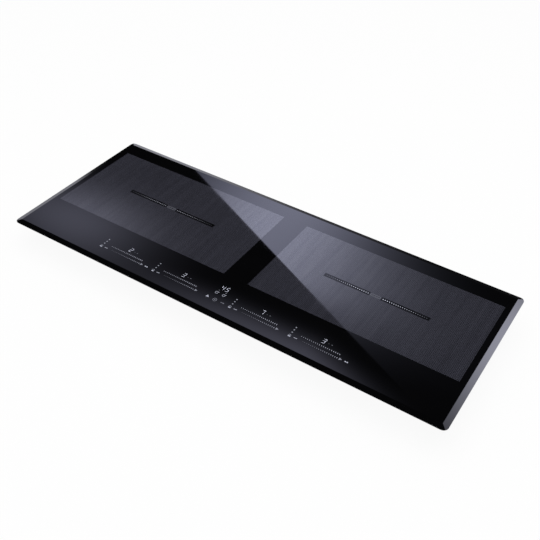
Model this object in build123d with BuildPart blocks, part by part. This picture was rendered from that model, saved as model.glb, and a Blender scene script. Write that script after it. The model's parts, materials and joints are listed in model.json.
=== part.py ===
from build123d import *
import os
from math import floor

# Built-in induction cooktop: a bevelled black glass plate over a stepped steel casing.
# Sizes are millimetres. +X runs along the width to the right, +Y to the back, +Z up.
# The origin is the middle of the seal's underside, which lies on the worktop.

# Glass plate
glass_width = 900.0
glass_depth = 350.0
glass_thickness = 4.0
bevel_width = 10.5
bevel_drop = 3.0
glass_corner_radius = 10.0
glass_arris = 0.3

# Seal, silicone bead and carrier frame under the glass
seal_thickness = 2.0
seal_width = 10.0
seal_edge_inset = 3.0
adhesive_thickness = 0.8
adhesive_width = 6.0
frame_overhang = 19.0
frame_sheet = 1.0
frame_flange = 10.0
frame_skirt = 14.0
frame_corner_radius = 6.0

# Casing
casing_sheet = 1.0
casing_fit = 0.2
casing_height = 48.0
casing_bend_radius = 4.0
ledge_height = 20.0
end_step = 30.0
front_step = 22.8
wall_top_gap = 0.5
cut_spare = 1.0

# Screws: shank radius, head radius, head height
small_screw = (1.5, 2.8, 1.8)
clamp_screw = (2.0, 4.0, 2.4)
screw_recess_length = 2.8
screw_recess_width = 0.8
screw_recess_depth = 1.0
sheet_screw_length = 6.0
board_screw_length = 5.0
clamp_thread_spare = 4.0
screw_hole_gap = 0.1
clamp_hole_gap = 0.08
side_screw_drop = 8.0
side_screw_spread_x = 330.0
side_screw_spread_y = 90.0

# Cooking areas and coils
zone_side_margin = 22.0
zone_gap = 52.0
zone_front_margin = 102.0
zone_back_margin = 42.0
coil_cell_gap = 24.0
coil_inner_radius = 24.0
wire_diameter = 3.4
wire_pitch = 4.2
gap_points = 12
layer_gap = 0.1
mica_thickness = 0.5
former_thickness = 3.0
former_lip = 1.5
ferrite_height = 5.0
ferrite_width = 12.0
ferrite_count = 8
sensor_radius = 5.0
sensor_hole_gap = 3.0
sensor_seat = 2.0
tray_thickness = 1.5
tray_margin = 4.0
tray_frame_gap = 3.0
tray_centre_gap = 7.5
tray_post_inset = 12.0
post_radius = 5.0

# Fans
fan_size = 84.0
fan_height = 22.0
fan_wall = 3.0
fan_centre_gap = 18.0
fan_blades = 9
blade_chord = 12.0
blade_thickness = 1.6
blade_tilt = 45.0
blade_tip_gap = 2.0
fan_hub_radius = 15.0
fan_hub_height = 10.0
fan_floor_gap = 1.0
fan_shaft_radius = 1.5
fan_shaft_gap = 0.06
fan_boss_radius = 8.0
fan_arm_width = 6.0
fan_arm_height = 3.0
fan_arm_root = 1.0
blade_root = 2.0
fan_shaft_drop = 1.0

# Power boards and what stands on them
board_thickness = 1.6
board_gap = 8.0
board_screw_inset = 7.0
spacer_height = 5.0
spacer_radius = 4.0
heat_sink_depth = 40.0
heat_sink_base = 4.0
heat_sink_fin = 2.0
heat_sink_fins = 8
heat_sink_side = 5.0
part_to_tray_gap = 5.0
transistor_size = (16.0, 5.0, 18.0)
transistor_count = 4
transistor_pitch = 40.0
capacitor_size = (36.0, 16.0, 20.0)
capacitor_count = 3
capacitor_pitch = 50.0
capacitor_edge = 1.0
choke_radius = 18.0
choke_hole_radius = 9.0
choke_height = 14.0
choke_edge = 3.0
mains_plug_size = (18.0, 12.0, 12.0)
ribbon_plug_size = (28.0, 8.0, 8.0)

# Control unit behind the front strip of the glass
control_length = 570.0
control_depth = 50.0
control_height = 11.0
control_wall = 1.6
control_glass_gap = 0.2
control_frame_gap = 2.0
control_ledge = 2.0
control_board_gap = 0.2
control_board_thickness = 1.6
control_board_room = 6.0
control_post_x = (-250.0, -120.0, 120.0, 250.0)
digit_size = (12.0, 18.0)
digit_front = 58.0
slider_size = (76.0, 14.0)
slider_front = 41.5
slider_corner = 2.0
slider_starts = (-259.5, -136.5, 32.5, 153.5)
slider_offset = 54.0
timer_front = 70.0
ribbon_width = 20.0
ribbon_thickness = 1.0
ribbon_bend_radius = 8.0
ribbon_inset = 40.0
ribbon_reach = 16.0

# Mains terminal
terminal_length = 104.0
terminal_depth = 51.0
terminal_height = 26.0
terminal_wall = 2.0
terminal_end_gap = 22.0
terminal_block_size = (62.0, 18.0, 13.0)
terminal_poles = 5
terminal_screw_depth = 4.0
cover_thickness = 2.0
cover_gap = 0.6
cover_recess = 0.3
cover_notch = (14.0, 5.0)
cover_pin_radius = 1.5
cover_pin_gap = 0.08
cover_axis_height = 3.5
cover_axis_inset = 6.0
cable_radius = 5.5
grommet_wall = 2.0
grommet_flange = 2.5
grommet_length = 8.0
grommet_fit = 0.05
lead_radius = 2.5
lead_bend_radius = 15.0
lead_wall_gap = 28.0
lead_floor_gap = 7.0

# Vents
vent_slot = (30.0, 4.0)
vent_rows = 7
vent_row_pitch = 9.0
vent_column_pitch = 36.0
exhaust_slot = (16.0, 4.0)
exhaust_pitch = 10.0
exhaust_count = 14
exhaust_drop = 30.0

# Worktop clamps
clamp_y = 95.0
clamp_width = 18.0
clamp_sheet = 2.0
clamp_reach = 46.0
clamp_leg_offset = 13.0
clamp_drop = 18.0
clamp_play = 0.1
clamp_foot_corner = 0.9

# Heights that follow from the sizes above
glass_bottom = seal_thickness
glass_upper = glass_bottom + glass_thickness
bevel_bottom = glass_upper - bevel_drop
flange_top = glass_bottom - adhesive_thickness
flange_bottom = flange_top - frame_sheet
wall_top = flange_bottom - wall_top_gap
floor_top = -casing_height + casing_sheet
ledge_top = -ledge_height + casing_sheet
mica_bottom = glass_bottom - mica_thickness
wire_height = mica_bottom - layer_gap - wire_diameter / 2
former_top = wire_height - wire_diameter / 2 - layer_gap
former_bottom = former_top - former_thickness
tray_top = former_bottom - ferrite_height
tray_bottom = tray_top - tray_thickness
board_bottom = floor_top + spacer_height
board_top = board_bottom + board_thickness
control_top = glass_bottom - control_glass_gap
control_bottom = control_top - control_height
control_board_top = control_top - control_board_room
control_board_bottom = control_board_top - control_board_thickness

# Plan sizes and places that follow from the sizes above
frame_width = glass_width - 2 * frame_overhang
frame_depth = glass_depth - 2 * frame_overhang
rim_width = frame_width - 2 * (frame_sheet + casing_fit)
rim_depth = frame_depth - 2 * (frame_sheet + casing_fit)
rim_corner_radius = frame_corner_radius - frame_sheet - casing_fit
tub_half = rim_width / 2 - end_step
tub_front = -rim_depth / 2 + front_step
back_inner = rim_depth / 2 - casing_sheet
zone_width = glass_width / 2 - zone_side_margin - zone_gap / 2
zone_depth = glass_depth - zone_front_margin - zone_back_margin
zone_x = zone_gap / 2 + zone_width / 2
zone_y = (zone_front_margin - zone_back_margin) / 2
coil_radius = (min(zone_width / 2, zone_depth) - coil_cell_gap) / 2
winding_room = coil_radius - former_lip - wire_diameter - coil_inner_radius
winding_turns = floor(winding_room / wire_pitch)
tray_inner = zone_gap / 2 + tray_centre_gap
tray_outer = frame_width / 2 - frame_flange - tray_frame_gap
tray_half_depth = coil_radius + tray_margin
fan_x = fan_centre_gap + fan_size / 2
board_inner = fan_centre_gap + fan_size + board_gap
board_outer = tub_half - casing_sheet - board_gap
board_length = board_outer - board_inner
board_x = (board_inner + board_outer) / 2
terminal_front = back_inner - terminal_depth
terminal_x = -(tub_half - casing_sheet - terminal_end_gap - terminal_length / 2)
terminal_y = back_inner - terminal_depth / 2
control_post_y = tub_front + casing_bend_radius + 2 * post_radius
board_front = control_post_y + post_radius + board_gap
board_back = terminal_front - board_gap
board_depth = board_back - board_front
board_y = (board_front + board_back) / 2
heat_sink_inner = board_inner + 3 * board_gap + mains_plug_size[0]
heat_sink_length = board_outer - 2 * board_gap - heat_sink_inner
heat_sink_x = heat_sink_inner + heat_sink_length / 2
heat_sink_y = zone_y
heat_sink_height = tray_bottom - part_to_tray_gap - board_top
choke_x = board_outer - board_gap - choke_radius
choke_y = heat_sink_y - heat_sink_depth / 2 - board_gap - choke_radius
control_y = -frame_depth / 2 + frame_flange + control_frame_gap + control_depth / 2
control_back = control_y + control_depth / 2
digit_y = -glass_depth / 2 + digit_front
timer_y = -glass_depth / 2 + timer_front
slider_y = -glass_depth / 2 + slider_front
mains_plug_x = board_inner + 2 * board_gap + mains_plug_size[0] / 2
mains_plug_y = board_back - mains_plug_size[1] / 2
ribbon_x = board_inner + ribbon_inset
ribbon_y = control_back + ribbon_reach
capacitor_y = ribbon_y + (ribbon_plug_size[1] + capacitor_size[1]) / 2 + board_gap
clamp_x = tub_half + end_step / 2
window_front = terminal_front + terminal_wall
window_back = back_inner - terminal_wall - casing_bend_radius
window_length = terminal_length - 2 * terminal_wall
exhaust_x = board_inner + exhaust_pitch * exhaust_count / 2
cover_axis_y = terminal_front + cover_axis_inset
cover_axis_z = -casing_height + cover_axis_height
groove_radius = cable_radius + grommet_wall
cable_height = floor_top + casing_bend_radius + groove_radius + grommet_flange
cable_x = terminal_x

sides = (("left", -1), ("right", 1))
on_seat = (Align.CENTER, Align.CENTER, Align.MIN)
under_seat = (Align.CENTER, Align.CENTER, Align.MAX)
os.makedirs("parts", exist_ok=True)


def save(piece, name):
    """Names a finished piece and writes it."""
    piece.label = name
    export_step(piece, f"parts/{name}.step")


def band(width, depth, thickness, corner_radius):
    """Draws a band that runs round the inside of a rounded rectangle."""
    RectangleRounded(width, depth, corner_radius)
    Rectangle(width - 2 * thickness, depth - 2 * thickness, mode=Mode.SUBTRACT)


def screw_group(places, screw, shank_length):
    """Makes one screw at each place: head above the local seat, shank below it."""
    shank_radius, head_radius, head_height = screw
    with BuildPart() as group:
        with Locations(*places):
            Cylinder(head_radius, head_height, align=on_seat)
            Cylinder(shank_radius, shank_length, align=under_seat)
        with Locations(*[place * Location((0, 0, head_height)) for place in places]):
            for size in (
                (screw_recess_length, screw_recess_width, screw_recess_depth),
                (screw_recess_width, screw_recess_length, screw_recess_depth),
            ):
                Box(*size, align=under_seat, mode=Mode.SUBTRACT)
    return group.part


def side_screw_places():
    """Places of the side screws, with local Z pointing out of the frame's skirt."""
    height = flange_top - side_screw_drop
    places = []
    for sign in (-1, 1):
        for x in (-side_screw_spread_x, 0.0, side_screw_spread_x):
            places.append(Location((x, sign * frame_depth / 2, height), (-90 * sign, 0, 0)))
        for y in (-side_screw_spread_y, side_screw_spread_y):
            places.append(Location((sign * frame_width / 2, y, height), (0, 90 * sign, 0)))
    return places


def tray_corner_places(height, sign):
    """Places of the four posts of one coil tray."""
    inner = tray_inner + tray_post_inset
    outer = tray_outer - tray_post_inset
    half = tray_half_depth - tray_post_inset
    return [Location((sign * x, zone_y + y, height)) for x in (inner, outer) for y in (-half, half)]


def board_corner_places(height, sign):
    """Places of the four spacers of one power board."""
    half_x = board_length / 2 - board_screw_inset
    half_y = board_depth / 2 - board_screw_inset
    corners = [(x, y) for x in (-half_x, half_x) for y in (-half_y, half_y)]
    return [Location((sign * board_x + x, board_y + y, height)) for x, y in corners]


def fan_corner_places(height, sign):
    """Places of the four screws of one fan housing."""
    half = fan_size / 2 - fan_wall - small_screw[1]
    corners = [(x, y) for x in (-half, half) for y in (-half, half)]
    return [Location((sign * fan_x + x, zone_y + y, height)) for x, y in corners]


side_places = side_screw_places()
screw_hole_radius = small_screw[0] + screw_hole_gap
clamp_hole_radius = clamp_screw[0] + clamp_hole_gap
skirt_cut = 2 * (frame_sheet + casing_fit + casing_sheet + cut_spare)

# Glass plate: a rounded slab with a slope cut along each of its four upper edges
with BuildPart() as glass_top:
    with BuildSketch(Plane.XY.offset(glass_bottom)):
        RectangleRounded(glass_width, glass_depth, glass_corner_radius)
    extrude(amount=glass_thickness)
    chamfer(glass_top.faces().sort_by(Axis.Z)[0].edges(), length=glass_arris)
    for plane, reach, half_run in (
        (Plane.YZ, glass_depth / 2, glass_width / 2),
        (Plane.XZ, glass_width / 2, glass_depth / 2),
    ):
        for sign in (-1, 1):
            with BuildSketch(plane):
                with BuildLine():
                    Polyline(
                        (sign * reach, bevel_bottom),
                        (sign * (reach - bevel_width), glass_upper),
                        (sign * reach, glass_upper),
                        close=True,
                    )
                make_face()
            extrude(amount=half_run, both=True, mode=Mode.SUBTRACT)
save(glass_top.part, "glass_top")

# Foam seal that the glass rests on
with BuildPart() as worktop_seal:
    with BuildSketch(Plane.XY):
        band(
            glass_width - 2 * seal_edge_inset,
            glass_depth - 2 * seal_edge_inset,
            seal_width,
            glass_corner_radius - seal_edge_inset,
        )
    extrude(amount=seal_thickness)
save(worktop_seal.part, "worktop_seal")

# Silicone bead between the glass and the frame's flange
with BuildPart() as glass_adhesive:
    with BuildSketch(Plane.XY.offset(flange_top)):
        inset = frame_flange - adhesive_width
        band(frame_width - inset, frame_depth - inset, adhesive_width, frame_corner_radius)
    extrude(amount=adhesive_thickness)
save(glass_adhesive.part, "glass_adhesive")

# Carrier frame: a flat flange and a skirt folded down round the casing's wall
with BuildPart() as carrier_frame:
    with BuildSketch(Plane.XY.offset(flange_bottom)):
        band(frame_width, frame_depth, frame_flange, frame_corner_radius)
    extrude(amount=frame_sheet)
    with BuildSketch(Plane.XY.offset(flange_top - frame_skirt)):
        RectangleRounded(frame_width, frame_depth, frame_corner_radius)
        RectangleRounded(
            frame_width - 2 * frame_sheet,
            frame_depth - 2 * frame_sheet,
            frame_corner_radius - frame_sheet,
            mode=Mode.SUBTRACT,
        )
    extrude(amount=frame_skirt)
    with Locations(*side_places):
        Cylinder(screw_hole_radius, skirt_cut, mode=Mode.SUBTRACT)
save(carrier_frame.part, "carrier_frame")


def tub_section(inset):
    """Draws the casing's section across the width, inset by the sheet for the hollow."""
    half = rim_depth / 2
    upper = wall_top + 2 * inset
    Polygon(
        (-half, upper),
        (-half, -ledge_height),
        (tub_front, -casing_height),
        (half, -casing_height),
        (half, upper),
        align=None,
    )
    fillet(vertices().sort_by(Axis.Y)[:3], radius=casing_bend_radius)
    if inset > 0:
        offset(amount=-inset, mode=Mode.REPLACE)


# Casing: wide shallow rim with end ledges, and a deep tub with a sloping front
with BuildPart() as casing:
    with BuildSketch(Plane.YZ):
        tub_section(0.0)
    extrude(amount=tub_half, both=True)
    with BuildSketch(Plane.XY.offset(-ledge_height)):
        RectangleRounded(rim_width, rim_depth, rim_corner_radius)
    extrude(amount=ledge_height + wall_top)
    with BuildSketch(Plane.YZ):
        tub_section(casing_sheet)
    extrude(amount=tub_half - casing_sheet, both=True, mode=Mode.SUBTRACT)
    with BuildSketch(Plane.XY.offset(ledge_top)):
        RectangleRounded(
            rim_width - 2 * casing_sheet,
            rim_depth - 2 * casing_sheet,
            rim_corner_radius - casing_sheet,
        )
    extrude(amount=wall_top - ledge_top, mode=Mode.SUBTRACT)
    with Locations(*side_places):
        Cylinder(screw_hole_radius, skirt_cut, mode=Mode.SUBTRACT)
    with BuildSketch(Plane.XY.offset(-casing_height)):
        for _, sign in sides:
            with Locations((sign * fan_x, zone_y)):
                with GridLocations(vent_column_pitch, vent_row_pitch, 2, vent_rows):
                    SlotOverall(*vent_slot)
            with Locations(*fan_corner_places(0, sign)):
                Circle(screw_hole_radius)
        with Locations((terminal_x, (window_front + window_back) / 2)):
            Rectangle(window_length, window_back - window_front)
    extrude(amount=casing_sheet, mode=Mode.SUBTRACT)
    with BuildSketch(Plane.XY.offset(-ledge_height)):
        with GridLocations(2 * clamp_x, 2 * clamp_y, 2, 2):
            Circle(clamp_hole_radius)
    extrude(amount=casing_sheet, mode=Mode.SUBTRACT)
    with BuildSketch(Plane.XZ.offset(-rim_depth / 2)):
        with Locations((exhaust_x, -exhaust_drop), (-exhaust_x, -exhaust_drop)):
            with GridLocations(exhaust_pitch, 1, exhaust_count, 1):
                SlotOverall(*exhaust_slot, rotation=90)
        with Locations((cable_x, cable_height)):
            Circle(groove_radius)
    extrude(amount=casing_sheet, mode=Mode.SUBTRACT)
save(casing.part, "casing")

save(screw_group(side_places, small_screw, sheet_screw_length), "casing_screws")

# Coil trays: flat aluminium plates with a hole under each coil
for side, sign in sides:
    with BuildPart() as coil_tray:
        with BuildSketch(Plane.XY.offset(tray_bottom)):
            with Locations((sign * (tray_inner + tray_outer) / 2, zone_y)):
                RectangleRounded(tray_outer - tray_inner, 2 * tray_half_depth, tray_margin)
            with Locations(*tray_corner_places(0, sign)):
                Circle(screw_hole_radius, mode=Mode.SUBTRACT)
            for offset_x in (-zone_width / 4, zone_width / 4):
                with Locations((sign * zone_x + offset_x, zone_y)):
                    Circle(sensor_radius, mode=Mode.SUBTRACT)
        extrude(amount=tray_thickness)
    save(coil_tray.part, f"coil_tray_{side}")

# Coils, numbered from left to right
coil_places = [
    (sign * zone_x + step * zone_width / 4, zone_y) for _, sign in sides for step in (-1, 1)
]
for number, (x, y) in enumerate(coil_places, start=1):
    # Former: a disc with a raised lip round the winding
    with BuildPart() as coil_former:
        with BuildSketch(Plane((x, y, former_bottom))):
            Circle(coil_radius)
            Circle(sensor_radius - sensor_seat, mode=Mode.SUBTRACT)
        extrude(amount=former_thickness)
        with BuildSketch(Plane((x, y, former_top))):
            Circle(coil_radius)
            Circle(coil_radius - former_lip, mode=Mode.SUBTRACT)
        extrude(amount=wire_diameter / 2)
    save(coil_former.part, f"coil_former_{number}")

    # Winding: half turns about two centres half a pitch apart make one flat spiral
    with BuildPart() as coil_winding:
        with BuildLine(Plane((x, y, wire_height))) as spiral:
            Line((coil_inner_radius, -wire_diameter), (coil_inner_radius, 0))
            arcs = []
            for half_turn in range(2 * winding_turns):
                radius = coil_inner_radius + half_turn * wire_pitch / 2
                odd = half_turn % 2
                arcs.append(CenterArc((odd * wire_pitch / 2, 0), radius, 180 * odd, 180))
            end_radius = coil_inner_radius + winding_turns * wire_pitch
            Line((end_radius, 0), (end_radius, wire_diameter))
        start = (x + coil_inner_radius, y - wire_diameter, wire_height)
        with BuildSketch(Plane(start, x_dir=(1, 0, 0), z_dir=(0, 1, 0))):
            Circle(wire_diameter / 2)
        sweep(path=spiral.wire())
    save(coil_winding.part, f"coil_winding_{number}")
    shares = [step / gap_points for step in range(gap_points + 1)]
    spacing = min((outer @ t - inner @ t).length for inner, outer in zip(arcs, arcs[2:]) for t in shares)
    print(f"coil_winding_{number}: {winding_turns} turns, least gap {spacing - wire_diameter:.2f} mm")

for side, sign in sides:
    places = [(x, y) for x, y in coil_places if x * sign > 0]
    bar_length = coil_radius - former_lip - coil_inner_radius

    # Ferrite bars: spokes under each former
    with BuildPart() as ferrite_bars:
        with BuildSketch(Plane.XY.offset(tray_top)):
            with Locations(*places):
                with PolarLocations(coil_inner_radius + bar_length / 2, ferrite_count):
                    Rectangle(bar_length, ferrite_width)
        extrude(amount=ferrite_height)
    save(ferrite_bars.part, f"ferrite_bars_{side}")

    # Mica discs between the windings and the glass
    with BuildPart() as mica_discs:
        with BuildSketch(Plane.XY.offset(mica_bottom)):
            with Locations(*places):
                Circle(coil_radius)
                Circle(sensor_radius + sensor_hole_gap, mode=Mode.SUBTRACT)
        extrude(amount=mica_thickness)
    save(mica_discs.part, f"mica_discs_{side}")

    # Temperature sensors: pads that reach from the former up to the glass
    with BuildPart() as temperature_sensors:
        with BuildSketch(Plane.XY.offset(former_top)):
            with Locations(*places):
                Circle(sensor_radius)
        extrude(amount=glass_bottom - former_top)
    save(temperature_sensors.part, f"temperature_sensors_{side}")

# Tray posts: tall ones on the tub floor, short ones on the end ledges
with BuildPart() as tray_posts:
    for _, sign in sides:
        for place in tray_corner_places(0, sign):
            point = place.position
            foot = floor_top if abs(point.X) < tub_half - casing_sheet - post_radius else ledge_top
            with BuildSketch(Plane((point.X, point.Y, foot))):
                Circle(post_radius)
                Circle(screw_hole_radius, mode=Mode.SUBTRACT)
            extrude(amount=tray_bottom - foot)
save(tray_posts.part, "tray_posts")

tray_screw_places = [p for _, sign in sides for p in tray_corner_places(tray_top, sign)]
save(screw_group(tray_screw_places, small_screw, sheet_screw_length), "tray_screws")

# Power boards, one each side
for side, sign in sides:
    with BuildPart() as power_board:
        with BuildSketch(Plane.XY.offset(board_bottom)):
            with Locations((sign * board_x, board_y)):
                Rectangle(board_length, board_depth)
            with Locations(*board_corner_places(0, sign)):
                Circle(screw_hole_radius, mode=Mode.SUBTRACT)
        extrude(amount=board_thickness)
    save(power_board.part, f"power_board_{side}")

    # Heat sink: a base with upright fins, its front wall thicker for the transistors
    with BuildPart() as heat_sink:
        with BuildSketch(Plane((sign * heat_sink_x - heat_sink_length / 2, 0, 0), (0, 1, 0), (1, 0, 0))):
            front = heat_sink_y - heat_sink_depth / 2
            with Locations((heat_sink_y, board_top)):
                Rectangle(heat_sink_depth, heat_sink_base, align=(Align.CENTER, Align.MIN))
            with Locations((front, board_top)):
                Rectangle(heat_sink_side, heat_sink_height, align=(Align.MIN, Align.MIN))
            fin_pitch = (heat_sink_depth - heat_sink_side) / heat_sink_fins
            for fin in range(1, heat_sink_fins + 1):
                with Locations((front + heat_sink_side + fin * fin_pitch, board_top)):
                    Rectangle(heat_sink_fin, heat_sink_height, align=(Align.MAX, Align.MIN))
        extrude(amount=heat_sink_length)
    save(heat_sink.part, f"heat_sink_{side}")

    # Power transistors in a row against the heat sink's front wall
    with BuildPart() as power_transistors:
        with Locations((sign * heat_sink_x, heat_sink_y - heat_sink_depth / 2, board_top)):
            with GridLocations(transistor_pitch, 1, transistor_count, 1):
                Box(*transistor_size, align=(Align.CENTER, Align.MAX, Align.MIN))
    save(power_transistors.part, f"power_transistors_{side}")

    # Film capacitors near the board's front edge
    with BuildPart() as film_capacitors:
        with Locations((sign * heat_sink_x, capacitor_y, board_top)):
            with GridLocations(capacitor_pitch, 1, capacitor_count, 1):
                Box(*capacitor_size, align=on_seat)
        upright = film_capacitors.edges().filter_by(Axis.Z)
        fillet(upright, radius=capacitor_edge)
    save(film_capacitors.part, f"film_capacitors_{side}")

    # Filter choke: a ring core at the outer end of the board
    with BuildPart() as filter_choke:
        with BuildSketch(Plane((sign * choke_x, choke_y, board_top))):
            Circle(choke_radius)
            Circle(choke_hole_radius, mode=Mode.SUBTRACT)
        extrude(amount=choke_height)
        fillet(filter_choke.edges().filter_by(GeomType.CIRCLE), radius=choke_edge)
    save(filter_choke.part, f"filter_choke_{side}")

    # Plugs of the mains lead and of the ribbon cable
    with BuildPart() as board_connectors:
        with Locations((sign * mains_plug_x, mains_plug_y, board_top)):
            Box(*mains_plug_size, align=on_seat)
        with Locations((sign * ribbon_x, ribbon_y, board_top)):
            Box(*ribbon_plug_size, align=on_seat)
    save(board_connectors.part, f"board_connectors_{side}")

with BuildPart() as board_spacers:
    with BuildSketch(Plane.XY.offset(floor_top)):
        for _, sign in sides:
            with Locations(*board_corner_places(0, sign)):
                Circle(spacer_radius)
                Circle(screw_hole_radius, mode=Mode.SUBTRACT)
    extrude(amount=spacer_height)
save(board_spacers.part, "board_spacers")

board_screw_places = [p for _, sign in sides for p in board_corner_places(board_top, sign)]
save(screw_group(board_screw_places, small_screw, board_screw_length), "board_screws")

# Fans: a square housing with a bearing boss above, and a rotor that hangs in it
fan_bore_radius = fan_size / 2 - fan_wall
fan_top = floor_top + fan_height
hub_bottom = floor_top + fan_floor_gap
hub_top = hub_bottom + fan_hub_height
boss_bottom = hub_top + fan_floor_gap
for side, sign in sides:
    with BuildPart() as fan_housing:
        with BuildSketch(Plane((sign * fan_x, zone_y, floor_top))):
            RectangleRounded(fan_size, fan_size, 2 * fan_wall)
            Circle(fan_bore_radius, mode=Mode.SUBTRACT)
        extrude(amount=fan_height)
        with BuildSketch(Plane((sign * fan_x, zone_y, fan_top - fan_arm_height))):
            with PolarLocations(fan_bore_radius / 2, 3):
                Rectangle(fan_bore_radius + fan_arm_root, fan_arm_width)
        extrude(amount=fan_arm_height)
        with BuildSketch(Plane((sign * fan_x, zone_y, boss_bottom))):
            Circle(fan_boss_radius)
        extrude(amount=fan_top - boss_bottom)
        with BuildSketch(Plane((sign * fan_x, zone_y, boss_bottom))):
            Circle(fan_shaft_radius + fan_shaft_gap)
        extrude(amount=fan_top - boss_bottom, mode=Mode.SUBTRACT)
        with BuildSketch(Plane.XY.offset(floor_top)):
            with Locations(*fan_corner_places(0, sign)):
                Circle(screw_hole_radius)
        extrude(amount=fan_height, mode=Mode.SUBTRACT)
    save(fan_housing.part, f"fan_housing_{side}")

    blade_length = fan_bore_radius - blade_tip_gap - fan_hub_radius + blade_root
    blade_middle = fan_hub_radius - blade_root + blade_length / 2
    with BuildPart() as fan_rotor:
        with BuildSketch(Plane((sign * fan_x, zone_y, hub_bottom))):
            Circle(fan_hub_radius)
        extrude(amount=fan_hub_height)
        with BuildSketch(Plane((sign * fan_x, zone_y, hub_top))):
            Circle(fan_shaft_radius)
        extrude(amount=fan_top - fan_shaft_drop - hub_top)
        with Locations((sign * fan_x, zone_y, (hub_bottom + hub_top) / 2)):
            with PolarLocations(blade_middle, fan_blades):
                Box(blade_length, blade_thickness, blade_chord, rotation=(blade_tilt, 0, 0))
    save(fan_rotor.part, f"fan_rotor_{side}")

fan_screw_places = [p for _, sign in sides for p in fan_corner_places(fan_top, sign)]
save(screw_group(fan_screw_places, small_screw, fan_height + casing_sheet / 2), "fan_screws")

# Control unit: an open tray under the front strip of the glass
control_inner_length = control_length - 2 * control_wall
control_inner_depth = control_depth - 2 * control_wall
with BuildPart() as control_carrier:
    with BuildSketch(Plane((0, control_y, control_bottom))):
        RectangleRounded(control_length, control_depth, 2 * control_wall)
    extrude(amount=control_height)
    with BuildSketch(Plane((0, control_y, control_board_bottom))):
        Rectangle(control_inner_length, control_inner_depth)
    extrude(amount=control_top - control_board_bottom, mode=Mode.SUBTRACT)
    with BuildSketch(Plane((0, control_y, control_bottom + control_wall))):
        Rectangle(control_inner_length - 2 * control_ledge, control_inner_depth - 2 * control_ledge)
    extrude(amount=control_board_bottom - control_bottom - control_wall, mode=Mode.SUBTRACT)
save(control_carrier.part, "control_carrier")

with BuildPart() as control_board:
    with BuildSketch(Plane((0, control_y, control_board_bottom))):
        Rectangle(
            control_inner_length - 2 * control_board_gap,
            control_inner_depth - 2 * control_board_gap,
        )
    extrude(amount=control_board_thickness)
save(control_board.part, "control_board")

# Digit displays: one above each slider and two side by side for the timer
slider_middles = [start + slider_offset for start in slider_starts]
lamp_height = control_top - control_board_top
with BuildPart() as display_modules:
    with BuildSketch(Plane.XY.offset(control_board_top)):
        with Locations(*[(x, digit_y) for x in slider_middles]):
            Rectangle(*digit_size)
        with Locations((0, timer_y)):
            Rectangle(2 * digit_size[0], digit_size[1])
    extrude(amount=lamp_height)
save(display_modules.part, "display_modules")

with BuildPart() as slider_light_guides:
    with BuildSketch(Plane.XY.offset(control_board_top)):
        with Locations(*[(x, slider_y) for x in slider_middles]):
            RectangleRounded(*slider_size, slider_corner)
    extrude(amount=lamp_height)
save(slider_light_guides.part, "slider_light_guides")

with BuildPart() as control_posts:
    with BuildSketch(Plane.XY.offset(floor_top)):
        with Locations(*[(x, control_post_y) for x in control_post_x]):
            Circle(post_radius)
    extrude(amount=control_bottom - floor_top)
save(control_posts.part, "control_posts")

# Ribbon cables: out of the control carrier's back, round one bend and down to the board's plug
ribbon_height = control_board_bottom
ribbon_start = control_back + ribbon_thickness / 2 + layer_gap
ribbon_end = board_top + ribbon_plug_size[2] + ribbon_thickness / 2 + layer_gap
with BuildPart() as control_ribbons:
    for _, sign in sides:
        start_x = sign * ribbon_x - ribbon_width / 2
        with BuildSketch(Plane((start_x, 0, 0), (0, 1, 0), (1, 0, 0))):
            with BuildLine():
                FilletPolyline(
                    (ribbon_start, ribbon_height),
                    (ribbon_y, ribbon_height),
                    (ribbon_y, ribbon_end),
                    radius=ribbon_bend_radius,
                )
                offset(amount=ribbon_thickness / 2, side=Side.BOTH, kind=Kind.ARC)
            make_face()
        extrude(amount=ribbon_width)
save(control_ribbons.part, "control_ribbons")

# Mains terminal box: five walls over a window in the casing's floor
with BuildPart() as terminal_box:
    with BuildSketch(Plane((terminal_x, terminal_y, floor_top))):
        Rectangle(terminal_length, terminal_depth)
    extrude(amount=terminal_height)
    foot_edge = terminal_box.edges().filter_by(Axis.X).sort_by(Axis.Z)[:2].sort_by(Axis.Y)[-1]
    chamfer(foot_edge, length=casing_bend_radius)
    with BuildSketch(Plane((terminal_x, terminal_y - casing_bend_radius / 2, floor_top))):
        Rectangle(window_length, window_back - window_front)
    extrude(amount=terminal_height - terminal_wall, mode=Mode.SUBTRACT)
    with BuildSketch(Plane.YZ.offset(terminal_x - terminal_length / 2)):
        with Locations((cover_axis_y, cover_axis_z)):
            Circle(cover_pin_radius + cover_pin_gap)
    extrude(amount=terminal_length, mode=Mode.SUBTRACT)
    with BuildSketch(Plane.XZ.offset(-back_inner)):
        with Locations((cable_x, cable_height)):
            Circle(groove_radius + grommet_flange + cover_gap)
    extrude(amount=terminal_wall + casing_bend_radius, mode=Mode.SUBTRACT)
save(terminal_box.part, "terminal_box")

# Terminal block: a screw over each conductor, hung from the box's ceiling
block_top = floor_top + terminal_height - terminal_wall
pole_pitch = terminal_block_size[0] / terminal_poles
block_y = terminal_front + terminal_wall + terminal_block_size[1] / 2 + cover_axis_inset
with BuildPart() as terminal_block:
    with Locations((terminal_x, block_y, block_top)):
        Box(*terminal_block_size, align=under_seat)
    with Locations((terminal_x, block_y, block_top - terminal_block_size[2])):
        with GridLocations(pole_pitch, 1, terminal_poles, 1):
            Cylinder(pole_pitch / 4, 2 * terminal_screw_depth, mode=Mode.SUBTRACT)
save(terminal_block.part, "terminal_block")

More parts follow.
